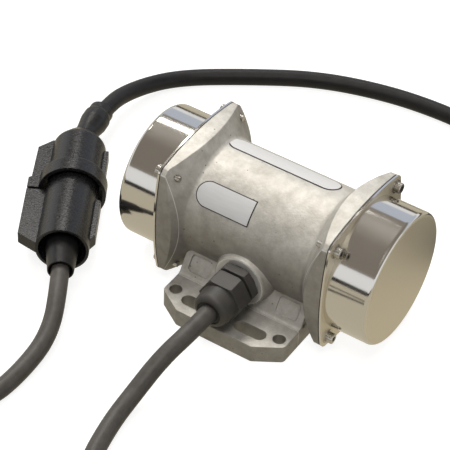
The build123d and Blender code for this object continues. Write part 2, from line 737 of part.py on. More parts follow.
def motor_lead_points():
    """Route of the motor's own lead, from the gland over the floor to the plug half."""
    return [(0, -50, GLAND_Z), (0, -72, GLAND_Z), (-4.5, -92, 18.6), (-7.6, -110, 8.6),
            (-7.5, -130, CORD_Z), (-1, -158, CORD_Z), (25.9, -210.7, CORD_Z),
            (16.4, -247, CORD_Z), (-13.3, -270, CORD_Z), (-50.8, -270, CORD_Z),
            (-80.5, -247, CORD_Z), (-89.9, -210.6, CORD_Z), (-63.5, -152, CORD_Z),
            (-61.3, -128, CORD_Z), (-62.7, -102, 8.2), (-74, -79, 16.4), (-88.7, -56.3, 17.5)]


def supply_lead_points():
    """Route of the supply lead, from the socket half round the back to the coil."""
    return [(-128.8, 14.0, 17.5), (-136.5, 47, 15.6), (-137, 74, 9.2), (-126, 103, CORD_Z),
            (-95, 125, CORD_Z), (-62, 146, CORD_Z), (-25, 157.5, CORD_Z),
            (8, 160.2, CORD_Z), (36, 158.2, CORD_Z), (62, 158.9, CORD_Z),
            (85.5, 160.5, CORD_Z + 0.3)]


def connector_place():
    """Frame of the connector: Z along its axis, X towards the finger fin."""
    heading = Vector(*CONN_HEADING).normalized()
    side = Vector(-abs(heading.Y), -heading.X, 0)
    return Plane(origin=CONN_ORIGIN, x_dir=side, z_dir=heading).location


def fin(points, thickness):
    """Flat rib in the plane of the connector's axis, from (reach, station) points."""
    outline = make_face(Polyline(*[(r, 0, z) for r, z in points], close=True))
    return extrude(outline, thickness / 2, both=True)


def socket_shell():
    """Rear half of the connector with the hood that the plug half enters."""
    step = HOOD_START + FIN_STEP_AT
    rib_end = HOOD_START + RIB_SLOPE
    shell = turned([(0, -SHOULDER_L), (SHOULDER_R, -SHOULDER_L), (CONN_BODY_R, 0),
                    (CONN_BODY_R, HOOD_START), (HOOD_R, HOOD_START + HOOD_RAMP), (HOOD_R, HOOD_END),
                    (0, HOOD_END)], (1, SHOULDER_EDGE_R), (2, SHOULDER_BLEND_R), (4, HOOD_EDGE_R))
    shell += fin([(0, FIN_START), (CONN_BODY_R, FIN_START), (FIN_REACH - FIN_STEP_START, FIN_RISE_END),
                  (FIN_REACH - FIN_STEP_END, step), (FIN_REACH, step + 1), (FIN_REACH, HOOD_END),
                  (0, HOOD_END)], FIN_T)
    shell += fin([(0, RIB_SLOPE), (-RIB_REACH, 2 * RIB_SLOPE), (-RIB_REACH, rib_end), (0, rib_end)], FIN_T)
    shell -= rod(HOOD_R - HOOD_WALL, HOOD_END - HOOD_DEPTH, HOOD_END + 1)
    shell -= rod(NOSE_R + SEAT_GAP, NOSE_START, HOOD_END)
    shell -= rod(SHOULDER_R - REAR_RECESS_WALL, -SHOULDER_L - 1, REAR_RECESS_L - SHOULDER_L)
    for x, y in pin_places():
        shell -= Pos(x, y, 0) * rod(PIN_R + CONTACT_WALL + FIT, CONTACT_START, NOSE_START + 1)
    return connector_place() * shell


def pin_places():
    """Places of the three contacts."""
    return [(PIN_PITCH * cos(radians(a)), PIN_PITCH * sin(radians(a))) for a in (90, 210, 330)]


def socket_contacts():
    """Three sleeve contacts in the socket half."""
    contact = tube(PIN_R + CONTACT_WALL, PIN_R + SEAT_GAP, CONTACT_START + 2 * SEAT_GAP,
                   NOSE_START - CONTACT_INSET)
    return Compound(children=[connector_place() * Pos(x, y, 0) * contact for x, y in pin_places()])


def plug_shell():
    """Front half of the connector: nose in the hood, open skirt at the lead's side."""
    collar = HOOD_END - COLLAR_DEPTH
    floor = PLUG_END - PLUG_MOUTH_DEPTH
    shell = turned([(0, NOSE_START + SEAT_GAP), (NOSE_R, NOSE_START + SEAT_GAP),
                    (NOSE_R, collar - COLLAR_SLOPE), (PLUG_R, collar), (PLUG_R, PLUG_END),
                    (PLUG_MOUTH_R, PLUG_END), (PLUG_MOUTH_R - PLUG_MOUTH_DRAFT, floor), (0, floor)])
    start = HOOD_END + FIN_SPLIT
    inside = PLUG_R - FIN_ROOT
    fin_foot = PLUG_END - FIN_END_INSET
    gusset = fin([(inside, start), (FIN_REACH, start), (FIN_REACH, FIN_END), (PLUG_R, fin_foot),
                  (inside, fin_foot)], FIN_T)
    rib_start = start + RIB_INSET
    rib = fin([(-inside, rib_start), (-RIB_REACH, rib_start + RIB_SLOPE), (-RIB_REACH, RIB_END),
               (-inside, PLUG_END - RIB_INSET)], FIN_T)
    shell += gusset + rib
    for x, y in pin_places():
        hole_end = NOSE_START + PIN_ROOT_L + PIN_HOLE_SLACK
        shell -= Pos(x, y, 0) * rod(PIN_R + FIT, NOSE_START, hole_end)
    return connector_place() * shell


def plug_pins():
    """Three round pins, set in the plug half and standing in the socket's contacts."""
    end = NOSE_START + PIN_ROOT_L
    tip = NOSE_START + PIN_TIP - PIN_L
    pin = turned([(0, tip), (PIN_R - PIN_TIP_STEP, tip), (PIN_R, tip + PIN_TIP), (PIN_R, end), (0, end)])
    return Compound(children=[connector_place() * Pos(x, y, 0) * pin for x, y in pin_places()])


def along(start, end):
    """Frame at a point with Z towards another point."""
    return Plane(origin=start, z_dir=Vector(*end) - Vector(*start)).location


def plug_sleeve():
    """Tapered boot that leaves the plug's skirt, open round the lead at its mouth."""
    points = motor_lead_points()
    frame = along(points[-1], points[-2])
    base = LEAD_INSET - PLUG_MOUTH_DEPTH + 3 * RUN_GAP
    mouth = LEAD_INSET + SLEEVE_PROUD
    inner_r = SLEEVE_MOUTH_R - SLEEVE_MOUTH_WALL
    land = mouth - SLEEVE_MOUTH_DEPTH
    sleeve = turned([(CORD_R + FIT, base), (SLEEVE_BASE_R, base), (SLEEVE_FACE_R, LEAD_INSET),
                     (SLEEVE_MOUTH_R, mouth), (inner_r, mouth), (inner_r - SLEEVE_MOUTH_DRAFT, land),
                     (CORD_R + FIT, land - SLEEVE_MOUTH_RAMP)])
    return frame * sleeve


def socket_sleeve():
    """Bulged boot at the rear of the socket half, with a stepped end."""
    points = supply_lead_points()
    frame = along(points[0], points[1])
    bulge_end = BULGE_AT + BULGE_L
    sleeve = turned([(CORD_R + FIT, BULGE_START), (BULGE_BASE_R, BULGE_START),
                     (BULGE_NECK_R, BULGE_NECK_AT), (BULGE_R, BULGE_AT), (BULGE_R, bulge_end),
                     (BULGE_END_R, bulge_end + BULGE_STEP), (BULGE_END_R, BULGE_END),
                     (BULGE_END_R - BULGE_WALL, BULGE_END),
                     (CORD_R + BULGE_BORE_GAP, BULGE_AT - BULGE_STEP),
                     (CORD_R + FIT, BULGE_NECK_AT + BULGE_WALL)], (3, BULGE_ROUND))
    return frame * sleeve


def coil_section():
    """Hull of the coil's bundle of turns, as (radius, height) points."""
    half = COIL_TURNS_FLOOR * CORD_R
    low = COIL_LIFT
    high = COIL_LIFT + 2 * CORD_R + COIL_LAYER_RISE
    return [(COIL_MID_R - half, low), (COIL_MID_R + half, low),
            (COIL_MID_R + half, low + 2 * CORD_R), (COIL_MID_R + half - CORD_R, high),
            (COIL_MID_R - half + CORD_R, high), (COIL_MID_R - half, low + 2 * CORD_R)]


def supply_lead_coil():
    """Outer shape of the coiled length."""
    ring = turned(coil_section(), *[(corner, COIL_ROUND) for corner in range(6)])
    return Pos(COIL_X, COIL_Y, 0) * ring


def coil_tie():
    """Strap round the bundle."""
    half = COIL_TURNS_FLOOR * CORD_R
    high = COIL_LIFT + 2 * CORD_R + COIL_LAYER_RISE
    inner_w = 2 * (half + RUN_GAP)
    inner_h = high - COIL_LIFT + 4 * SEAT_GAP
    strap = RectangleRounded(inner_w + 2 * TIE_T, inner_h + 2 * TIE_T, TIE_ROUND)
    strap -= RectangleRounded(inner_w, inner_h, TIE_INNER_ROUND)
    band = extrude(strap, TIE_W / 2, both=True)
    upright = Pos(COIL_MID_R, 0, (high + COIL_LIFT) / 2) * Rot(90, 0, 0) * band
    return Pos(COIL_X, COIL_Y, 0) * Rot(0, 0, TIE_ANGLE) * upright


def mains_axis():
    """Start of the plug's boot and the heading of its pins; boot and widest part lie on the floor."""
    rise = (MAINS_R - MAINS_BOOT_R) / (MAINS_BOOT_L + MAINS_WAIST_L)
    level = (1 - rise ** 2) ** 0.5
    turn = radians(MAINS_HEADING)
    heading = Vector(level * cos(turn), level * sin(turn), rise)
    return Vector(MAINS_AT_X, MAINS_AT_Y, MAINS_BOOT_R * level + FIT), heading


def mains_place():
    """Frame of the mains plug: Z along its pins, from the start of its boot."""
    start, heading = mains_axis()
    return Plane(origin=start, x_dir=(-heading.Y, heading.X, 0), z_dir=heading).location


def supply_lead_tail():
    """Free end of the lead between the coil and the mains plug."""
    start, heading = mains_axis()
    inner = start + heading * TAIL_INSET
    outer = start - heading * ((start.Z - CORD_Z - FIT) / heading.Z)
    away = radians(MAINS_HEADING - TAIL_TURN)
    coil_side = Vector(outer.X - TAIL_L * cos(away), outer.Y - TAIL_L * sin(away), CORD_Z + FIT)
    return [(v.X, v.Y, v.Z) for v in (coil_side, outer, inner)]


def mains_plug():
    """Moulded plug body with its bend relief."""
    back = MAINS_BOOT_L
    face = MAINS_BOOT_L + MAINS_L
    body = turned([(0, 0), (MAINS_BOOT_R, 0), (MAINS_BOOT_END_R, back), (MAINS_NECK_R, back),
                   (MAINS_SWELL_R, back + MAINS_WAIST_L / 2), (MAINS_R, back + MAINS_WAIST_L),
                   (MAINS_R, face), (0, face)], (4, MAINS_SWELL_ROUND), (6, MAINS_EDGE_R))
    body -= rod(CORD_R + FIT, -1, TAIL_INSET + FIT)
    for side in (-1, 1):
        hole = rod(MAINS_PIN_R + FIT, face - MAINS_PIN_ROOT_L, face + 1)
        body -= Pos(side * MAINS_PIN_HALF, 0, 0) * hole
    return mains_place() * body


def mains_pins():
    """Two round pins of the mains plug."""
    start = MAINS_BOOT_L + MAINS_L - MAINS_PIN_ROOT_L + SEAT_GAP
    tip = MAINS_BOOT_L + MAINS_L + MAINS_PIN_L
    pin = turned([(0, start), (MAINS_PIN_R, start), (MAINS_PIN_R, tip - MAINS_PIN_TIP),
                  (MAINS_PIN_R - MAINS_PIN_TIP, tip), (0, tip)])
    return Compound(children=[mains_place() * Pos(side * MAINS_PIN_HALF, 0, 0) * pin
                              for side in (-1, 1)])


PAIRED = {
    "cover": cover,
    "cover_gasket": gasket,
    "cover_screws": cover_screws,
    "cover_washers": cover_washers,
    "bearing_shield": bearing_shield,
    "shield_screws": shield_screws,
    "bearing_outer_ring": outer_ring,
    "bearing_inner_ring": inner_ring,
    "bearing_balls": balls,
    "bearing_cage": ball_cage,
    "fixed_weight": fixed_weight,
    "fixed_weight_key": lambda: MOTOR * key_solid(0),
    "fixed_weight_set_screw": set_screw,
    "adjustable_weight": adjustable_weight,
    "adjustable_weight_clamp_screw": clamp_screw,
    "shaft_retaining_clip": retaining_clip,
}
SINGLE = {
    "motor_housing": housing,
    "stator_core": stator_core,
    "stator_winding": stator_winding,
    "rotor_core": rotor_core,
    "rotor_cage": rotor_cage,
    "rotor_shaft": shaft,
    "gland_washer": gland_washer,
    "gland_body": gland_body,
    "gland_nut": gland_nut,
    "gland_seal": gland_seal,
    "motor_lead": lambda: lead("motor_lead", motor_lead_points()),
    "connector_plug_shell": plug_shell,
    "connector_plug_pins": plug_pins,
    "connector_plug_sleeve": plug_sleeve,
    "connector_socket_shell": socket_shell,
    "connector_socket_contacts": socket_contacts,
    "connector_socket_sleeve": socket_sleeve,
    "supply_lead": lambda: lead("supply_lead", supply_lead_points()),
    "supply_lead_coil": supply_lead_coil,
    "supply_lead_tail": lambda: lead("supply_lead_tail", supply_lead_tail()),
    "coil_tie": coil_tie,
    "mains_plug": mains_plug,
    "mains_plug_pins": mains_pins,
}


def main():
    """Writes each piece to its own STEP file."""
    os.makedirs("parts", exist_ok=True)
    for name, make in SINGLE.items():
        export_step(make(), f"parts/{name}.step")
    for name, make in PAIRED.items():
        piece = make()
        export_step(piece, f"parts/right_{name}.step")
        export_step(mirror(piece, about=Plane.YZ), f"parts/left_{name}.step")


main()
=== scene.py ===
# %% [markdown]
# # An external vibration motor, dressed for its portrait
# The CAD model already holds every solid at its real size and place. This lesson gives those solids
# their real finishes, lays the two flexible leads as smooth curves, adds the two bare plates that are
# glued to the barrel, and builds a small studio round the motor. Each step says what the piece is on
# the real motor and how it is made in Blender, and why that way was taken.

# %% Load the fixed frame
from math import cos, pi, radians, sin

import bmesh
import bpy
from mathutils import Matrix, Vector


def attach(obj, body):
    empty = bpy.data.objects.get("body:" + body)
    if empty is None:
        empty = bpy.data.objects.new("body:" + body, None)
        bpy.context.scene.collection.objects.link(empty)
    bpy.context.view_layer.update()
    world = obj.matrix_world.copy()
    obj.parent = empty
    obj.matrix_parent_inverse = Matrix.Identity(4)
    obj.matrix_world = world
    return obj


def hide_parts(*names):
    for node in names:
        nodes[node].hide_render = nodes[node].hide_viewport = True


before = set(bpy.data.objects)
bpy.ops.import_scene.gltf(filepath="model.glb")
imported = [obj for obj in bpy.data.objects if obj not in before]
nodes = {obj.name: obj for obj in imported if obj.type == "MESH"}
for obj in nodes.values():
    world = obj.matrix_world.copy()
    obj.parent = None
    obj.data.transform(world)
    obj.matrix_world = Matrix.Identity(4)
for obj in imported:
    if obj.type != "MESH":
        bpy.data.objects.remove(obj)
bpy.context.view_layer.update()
MM = 0.001

# %% [markdown]
# ## Camera
# A long lens far from the motor keeps its edges nearly parallel. Blender's camera looks down its own
# -Z axis, so it is turned up from straight down by 90 degrees less the elevation, then swung round Z
# to its azimuth. A small turn about its own axis is the photographer's tilted hand. Angles like these
# are easier to change than a matrix of nine numbers.

# %% Camera
CAMERA_AT = (0.390289, -0.683708, 0.755999)
CAMERA_AZIMUTH = 31.55
CAMERA_ELEVATION = 42.49
CAMERA_TILT = 2.56

lens = bpy.data.cameras.new("camera")
lens.sensor_width = 36
lens.lens = 174.1
lens.clip_start = 0.01
lens.clip_end = 20
camera = bpy.data.objects.new("camera", lens)
aim = (Matrix.Rotation(radians(CAMERA_AZIMUTH), 4, "Z")
       @ Matrix.Rotation(radians(90 - CAMERA_ELEVATION), 4, "X")
       @ Matrix.Rotation(radians(CAMERA_TILT), 4, "Z"))
camera.matrix_world = Matrix.Translation(CAMERA_AT) @ aim
bpy.context.scene.collection.objects.link(camera)
bpy.context.scene.camera = camera
print("camera looks along", [round(v, 3) for v in aim @ Vector((0, 0, -1))])

# %% [markdown]
# ## Leads
# Both leads are rubber-jacketed cable, 9.2 mm thick. A bevelled curve is the natural tool: its spline
# is the centre line and its bevel is the jacket. A NURBS spline of order 3 never overshoots its
# control points, so the lead stays on the bench where its points lie there. The order and the
# endpoint setting come after the points, because before them Blender falls back to straight runs.
# The thickness is the points' radius, with a bevel depth of one: Blender adds that radius, one metre
# unless it is set, to the curve's box.

# %% A lead from its control points
CORD_R = 4.6
CORD_Z = 4.65


def lead(name, points):
    """Round cable along control points in millimetres."""
    data = bpy.data.curves.new(name, "CURVE")
    data.dimensions = "3D"
    data.resolution_u = 10
    data.bevel_depth = 1.0
    data.bevel_resolution = 6
    data.use_fill_caps = True
    spline = data.splines.new("NURBS")
    spline.points.add(len(points) - 1)
    for point, place in zip(spline.points, points):
        point.co = (*[v * MM for v in place], 1)
        point.radius = CORD_R * MM
    spline.order_u = 3
    spline.use_endpoint_u = True
    made = bpy.data.objects.new(name, data)
    bpy.context.scene.collection.objects.link(made)
    return made


def line_length(cable):
    """Length in metres of the curve's own centre line."""
    plain = cable.copy()
    plain.data = cable.data.copy()
    plain.data.bevel_depth = 0
    mesh = bpy.data.meshes.new_from_object(plain)
    verts = [v.co for v in mesh.vertices]
    total = sum((b - a).length for a, b in zip(verts, verts[1:]))
    bpy.data.curves.remove(plain.data)
    bpy.data.meshes.remove(mesh)
    return total


# %% [markdown]
# ## The motor's own lead
# It leaves the gland straight, sinks to the bench and swings round in one loose loop below the
# picture's edge, then climbs into the open skirt of the plug half.

# %% Motor lead
GLAND_Z = 24.3
motor_lead = lead("motor_lead_cable", [
    (0, -50, GLAND_Z), (0, -72, GLAND_Z), (-4.5, -92, 18.6), (-7.6, -110, 8.6),
    (-7.5, -130, CORD_Z), (-1, -158, CORD_Z), (25.9, -210.7, CORD_Z), (16.4, -247, CORD_Z),
    (-13.3, -270, CORD_Z), (-50.8, -270, CORD_Z), (-80.5, -247, CORD_Z), (-89.9, -210.6, CORD_Z),
    (-63.5, -152, CORD_Z), (-61.3, -128, CORD_Z), (-62.7, -102, 8.2), (-74, -79, 16.4),
    (-88.7, -56.3, 17.5)])
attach(motor_lead, "frame")
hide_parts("motor_lead")
motor_lead_m = line_length(motor_lead)
print("motor lead", round(motor_lead_m, 3), "m")

# %% [markdown]
# ## The supply lead and its coil
# It leaves the socket half, sweeps behind the motor and goes out of the picture. The rest of its
# length is put away as a neat round coil. Wound cable doesn't spiral evenly: each turn is a circle,
# and all turns step over to the next one in the same sixth of the ring. Three turns lie on the bench
# and step inwards. The third climbs into the groove between the others, and two more turns lie on
# top. The last one slides off the coil's shoulder to the bench, into the mains plug.
# Twelve control points carry each turn. The spline touches the middle of each side of that polygon,
# so the corners stand a little outside the turn's true radius.

# %% Turns of the coil
COIL_AT = (118.0, 105.3)
TURNS_FLOOR = (55.2, 46.0, 36.8)
TURNS_TOP = (41.4, 50.6)
FLOOR_TURN_Z = 5.8
TOP_TURN_Z = 13.8
STEP_FROM = 300
CLIMB_FROM = 195
CLIMB_OVER = 110
STEP_LIFT = 0.6
PER_TURN = 12
CORNER_OUT = 1 / cos(pi / PER_TURN)


def on_coil(radius, wound, z):
    """Control point on the coil, from its radius and the angle wound since the coil's rear."""
    a = radians(90 - wound)
    out = radius * CORNER_OUT
    return (COIL_AT[0] + out * cos(a), COIL_AT[1] + out * sin(a), z)


def turn_of_coil(radius, next_radius, z, next_z, climb_from=STEP_FROM):
    """One turn: a circle that steps to the next radius and height before it ends."""
    points = []
    for i in range(PER_TURN):
        wound = 360 * (i + 0.5) / PER_TURN
        step = max(0, (wound - STEP_FROM) / (360 - STEP_FROM))
        rise = min(1, max(0, (wound - climb_from) / CLIMB_OVER))
        points.append(on_coil(radius + (next_radius - radius) * step, wound,
                              z + (next_z - z) * rise))
    return points


coil = []
for radius, next_radius in zip(TURNS_FLOOR, TURNS_FLOOR[1:]):
    coil += turn_of_coil(radius, next_radius, FLOOR_TURN_Z, FLOOR_TURN_Z)
coil += turn_of_coil(TURNS_FLOOR[-1], TURNS_TOP[0], FLOOR_TURN_Z, TOP_TURN_Z + STEP_LIFT,
                     CLIMB_FROM)
coil += turn_of_coil(TURNS_TOP[0], TURNS_TOP[1], TOP_TURN_Z, TOP_TURN_Z)
coil += turn_of_coil(TURNS_TOP[1], TURNS_TOP[1] + 2 * CORD_R, TOP_TURN_Z,
                     TOP_TURN_Z + STEP_LIFT)
print(len(coil), "control points in the coil")

# %% Supply lead
slide_off = [(60.2, 15, 14.0), (60.8, 45, 13.6), (61.8, 75, 13.2), (64.0, 105, 8.8)]
supply_lead = lead("supply_lead_cable", [
    (-128.8, 14.0, 17.5), (-136.5, 47, 15.6), (-137, 74, 9.2), (-126, 101, CORD_Z),
    (-95, 124, CORD_Z), (-62, 145, CORD_Z), (-25, 156.5, CORD_Z), (8, 160.0, CORD_Z),
    (36, 158.2, CORD_Z), (62, 158.9, CORD_Z), (85.5, 160.5, CORD_Z + 0.3)]
    + coil + [on_coil(*place) for place in slide_off]
    + [(175.5, 74.5, 4.7), (169.7, 58.7, 4.7), (165.1, 36.8, 10.4)])
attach(supply_lead, "frame")
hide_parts("supply_lead", "supply_lead_coil", "supply_lead_tail")
supply_lead_m = line_length(supply_lead)
print("supply lead", round(supply_lead_m, 3), "m")

# %% [markdown]
# ## Helpers for finishes
# A finish here is a small tree of shader nodes that reads Object coordinates, so its pattern keeps
# its real size on every piece. Colours are written as on a paint card, in sRGB hex, and one function
# turns them into the linear numbers that sockets take. The others each add what every finish needs:
# noise with grains of a real size, a value mapped to a range, two colours mixed, a bump of a real
# depth, and the normal's three parts. Written once, they keep each finish down to a few lines.

# %% Colour and node
def colour(code):
    """sRGB hex to linear RGBA."""
    parts = [int(code[i:i + 2], 16) / 255 for i in (1, 3, 5)]
    return (*[p / 12.92 if p < 0.04045 else ((p + 0.055) / 1.055) ** 2.4 for p in parts], 1)


def add(tree, kind, settings=None, links=None):
    """Adds a node, sets its sockets or properties, and links outputs to its sockets."""
    made = tree.nodes.new(kind)
    for name, value in (settings or {}).items():
        if not isinstance(name, int) and hasattr(made, name):
            setattr(made, name, value)
    for name, value in (settings or {}).items():
        if isinstance(name, int) or not hasattr(made, name):
            made.inputs[name].default_value = value
    for name, output in (links or {}).items():
        tree.links.new(output, made.inputs[name])
    return made


def empty_tree(owner):
    """Emptied node tree of a material or a world."""
    owner.use_nodes = True
    owner.node_tree.nodes.clear()
    return owner.node_tree


# %% Pattern, range, mix and bump
def grains(size_mm):
    """Noise scale whose grains are about this wide."""
    return 1 / (size_mm * MM)


def noise(tree, where, size_mm, detail, **more):
    """Noise with grains of a real size, at the given coordinates."""
    return add(tree, "ShaderNodeTexNoise", {"Scale": grains(size_mm), "Detail": detail, **more},
               {"Vector": where}).outputs[0]


def stretched(tree, where, scale):
    """The coordinates scaled axis by axis."""
    return add(tree, "ShaderNodeMapping", {"Scale": scale}, {"Vector": where}).outputs[0]


def spread(tree, value, to=(0, 1), within=(0, 1)):
    """A value that runs within two bounds, mapped to two others."""
    bounds = {"From Min": within[0], "From Max": within[1], "To Min": to[0], "To Max": to[1]}
    return add(tree, "ShaderNodeMapRange", bounds, {"Value": value}).outputs[0]


def blend(tree, factor, *sides):
    """Two colours mixed by a factor, each a hex code or another node's output."""
    codes = {i: colour(side) for i, side in enumerate(sides, 6) if isinstance(side, str)}
    outputs = {i: side for i, side in enumerate(sides, 6) if not isinstance(side, str)}
    return add(tree, "ShaderNodeMix", {"data_type": "RGBA", **codes},
               {0: factor, **outputs}).outputs[2]


def either(tree, factor, low, high):
    """Two values mixed by a factor."""
    return add(tree, "ShaderNodeMix", links={0: factor, 2: low, 3: high}).outputs[0]


def calc(tree, operation, settings, links):
    """One step of arithmetic."""
    return add(tree, "ShaderNodeMath", {"operation": operation, **settings}, links).outputs[0]


def rounded(tree, radius_mm, samples):
    """A normal bent over the piece's sharp edges."""
    return add(tree, "ShaderNodeBevel", {"samples": samples, "Radius": radius_mm * MM}).outputs[0]


def bumps(tree, height, strength, depth_mm, **normal):
    """A normal bent by a pattern of a real depth."""
    return add(tree, "ShaderNodeBump", {"Strength": strength, "Distance": depth_mm * MM},
               {"Height": height, **normal}).outputs[0]


def facing(tree):
    """The normal's X, Y and Z."""
    geometry = add(tree, "ShaderNodeNewGeometry")
    return add(tree, "ShaderNodeSeparateXYZ", links={0: geometry.outputs["Normal"]}).outputs


# %% Start, end and use of a finish
def start_finish(name):
    """A new material, its empty tree and its Object coordinates."""
    material = bpy.data.materials.new(name)
    tree = empty_tree(material)
    return material, tree, add(tree, "ShaderNodeTexCoord").outputs["Object"]


def end_finish(tree, settings, skin, roughness, normal):
    """Closes a tree with its shader and output."""
    shader = add(tree, "ShaderNodeBsdfPrincipled", settings,
                 {"Base Color": skin, "Roughness": roughness, "Normal": normal})
    add(tree, "ShaderNodeOutputMaterial", links={"Surface": shader.outputs[0]})


def wear(finish, *names):
    """Gives CAD nodes a finish in place of their plain one."""
    for name in names:
        mesh = nodes[name].data
        mesh.materials.clear()
        mesh.materials.append(finish)


# %% [markdown]
# ## Cast aluminium, bead blasted
# The housing is an aluminium-silicon casting. Blasting leaves a dull silver skin with a fine grit, a
# few darker pits where the mould left pores, and a slow drift of tone. The gland's seat is machined
# afterwards, so it is brighter and smoother: it is one plane across Y, so its place tells it. Faces
# that look down or steeply sideways get painted shade, a darker grey mixed into their colour, and the
# normal tells which is which. Cast edges are never sharp: the Bevel node bends the light over them
# with no change of shape.

# %% Housing finish
SEAT_Y = -33.0
SEAT_NEAR = 0.15
finish, tree, place = start_finish("cast_aluminium_bead_blasted")
drift = noise(tree, place, 9, 7, Roughness=0.7)
grit = noise(tree, place, 1.1, 4)
pores = add(tree, "ShaderNodeTexVoronoi", {"Scale": grains(5.5), "Randomness": 1},
            {"Vector": place})
tone = blend(tree, spread(tree, drift, within=(0.35, 0.65)), "#D6D3CC", "#B5B1A9")
pit = spread(tree, pores.outputs["Distance"], (1, 0), within=(0.05, 0.09))
spotted = blend(tree, pit, tone, "#7D776E")
# Painted shade: faces that look down or steeply sideways are darkened towards a dark grey.
painted_shade_by_slope = spread(tree, facing(tree)[2], (0.62, 0), within=(-0.3, 0.75))
skin_with_painted_shade = blend(tree, painted_shade_by_slope, spotted, "#57534E")
along = add(tree, "ShaderNodeSeparateXYZ", links={0: place})
seat = calc(tree, "COMPARE", {1: SEAT_Y * MM, 2: SEAT_NEAR * MM}, {0: along.outputs[1]})
skin = blend(tree, seat, skin_with_painted_shade, "#E6E4E0")
dull = spread(tree, drift, (0.42, 0.60))
sheen = calc(tree, "MULTIPLY_ADD", {1: -0.18}, {0: seat, 2: dull})
rough = bumps(tree, grit, 0.6, 0.3, Normal=rounded(tree, 0.9, 6))
end_finish(tree, {"Metallic": 0.4}, skin, sheen, rough)
wear(finish, "motor_housing")
print("housing finish has", len(tree.nodes), "nodes")

# %% [markdown]
# ## Drawn stainless covers
# Each cover is a deep-drawn cup. Its side is polished round the axis until it mirrors the room, with
# faint rings left by the wheel. Its end is brushed flat and only glows. One tree serves both, because
# the normal tells side from end. Noise squeezed along the axis turns its grains into rings.

# %% Cover finish
finish, tree, place = start_finish("drawn_stainless_polished_side_brushed_end")
sideways = calc(tree, "ABSOLUTE", {}, {0: facing(tree)[0]})
is_end = spread(tree, sideways, within=(0.75, 0.95))
rings = noise(tree, stretched(tree, place, (14, 1, 1)), 9, 3)
brushed = noise(tree, stretched(tree, place, (1, 26, 1)), 14, 4)
smudge = noise(tree, place, 18, 3)
metal = blend(tree, is_end, "#D2D0CC", "#DCD5C4")
side_gloss = spread(tree, smudge, (0.07, 0.15))
end_gloss = spread(tree, brushed, (0.48, 0.60))
gloss = either(tree, is_end, side_gloss, end_gloss)
relief = bumps(tree, either(tree, is_end, rings, brushed), 0.10, 0.05)
end_finish(tree, {"Metallic": 1.0}, metal, gloss, relief)
wear(finish, "left_cover", "right_cover")
print("cover finish has", len(tree.nodes), "nodes")

# %% [markdown]
# ## Moulded and rubber pieces
# Plastic and rubber take their skin from the mould: an even colour, a fine eroded grain, and polish
# where hands rub. They differ in colour, grain and gloss, so one function builds them all. Each call
# says which real material it stands for.

# %% A moulded skin
def moulded(name, dark, light, grain_mm, gloss, depth_mm, patch_mm=11, specular=0.5):
    """Moulded polymer: two tones in patches, uneven gloss and a fine grain."""
    made, tree, place = start_finish(name)
    patch = noise(tree, place, patch_mm, 4)
    grain = noise(tree, place, grain_mm, 2)
    tone = blend(tree, patch, dark, light)
    shine = spread(tree, patch, gloss)
    bump = bumps(tree, grain, 0.3, depth_mm, Normal=rounded(tree, 0.5, 4))
    end_finish(tree, {"Metallic": 0.0, "IOR": 1.5, "Specular IOR Level": specular},
               tone, shine, bump)
    return made


# %% Gland, seal, connector and plug
# Glass-filled polyamide: grey, dull, with a sandy grain.
finish = moulded("polyamide_glass_filled", "#302F2D", "#4C4946", 0.7, (0.42, 0.58), 0.14)
wear(finish, "gland_body", "gland_nut")
# Chloroprene rubber: deep black and matt.
finish = moulded("chloroprene_rubber", "#101010", "#1C1B1A", 0.8, (0.6, 0.75), 0.08)
wear(finish, "gland_seal", "gland_washer", "left_cover_gasket", "right_cover_gasket")
# Hard moulded PVC, glossy: the two shells of the connector and the mains plug.
finish = moulded("moulded_pvc_hard", "#050506", "#29292B", 0.9, (0.12, 0.42), 0.22, 1.8, 0.4)
wear(finish, "connector_plug_shell", "connector_socket_shell", "mains_plug")
# Soft PVC: the connector's two sleeves, duller because soft polymer scatters more.
finish = moulded("moulded_pvc_soft", "#0C0C0D", "#242425", 0.9, (0.26, 0.44), 0.14, 2.5, 0.4)
wear(finish, "connector_plug_sleeve", "connector_socket_sleeve")
# Woven nylon strap of the tie: its loose fibres make it matt.
finish = moulded("nylon_hook_and_loop", "#141414", "#202020", 0.6, (0.7, 0.85), 0.20)
wear(finish, "coil_tie")

# %% [markdown]
# ## Jacket of the leads
# Both jackets are extruded rubber with a soft sheen, slightly wavy because the die and the cores
# under them leave their mark. The motor's own lead is grey with dust, and the supply lead is clean
# and black. Object coordinates carry the wave as well, so a curve needs no texture layout.

# %% Lead finish
def jacket(name, dark, light):
    """Extruded rubber in two close tones, dusty and slightly wavy."""
    made, tree, place = start_finish(name)
    dust = noise(tree, place, 7, 5, Roughness=0.65)
    wave = noise(tree, place, 4, 2)
    tone = blend(tree, dust, dark, light)
    shine = spread(tree, dust, (0.32, 0.52))
    end_finish(tree, {"Metallic": 0.0, "IOR": 1.5, "Specular IOR Level": 0.3},
               tone, shine, bumps(tree, wave, 0.25, 0.15))
    return made


motor_lead.data.materials.append(jacket("extruded_rubber_jacket_dusty", "#393735", "#686460"))
supply_lead.data.materials.append(jacket("extruded_rubber_jacket_clean", "#0E0E0F", "#242325"))

# %% [markdown]
# ## Turned, rolled and plated metal
# Screws, bearings, shaft, weights and windings are metals that differ in colour and in the way they
# were made. Turned parts carry fine rings, rolled parts a directionless grain. One function serves
# them all, and for turned parts it squeezes its pattern along the shaft.

# %% A worked metal
def worked_metal(name, dark, light, grain_mm, gloss, squeeze=(1, 1, 1), metallic=1.0):
    """Metal with two close tones, uneven gloss and the grain that its making leaves."""
    made, tree, place = start_finish(name)
    grain = noise(tree, stretched(tree, place, squeeze), grain_mm, 3)
    tone = blend(tree, grain, dark, light)
    shine = spread(tree, grain, gloss)
    end_finish(tree, {"Metallic": metallic}, tone, shine, bumps(tree, grain, 0.2, 0.05))
    return made


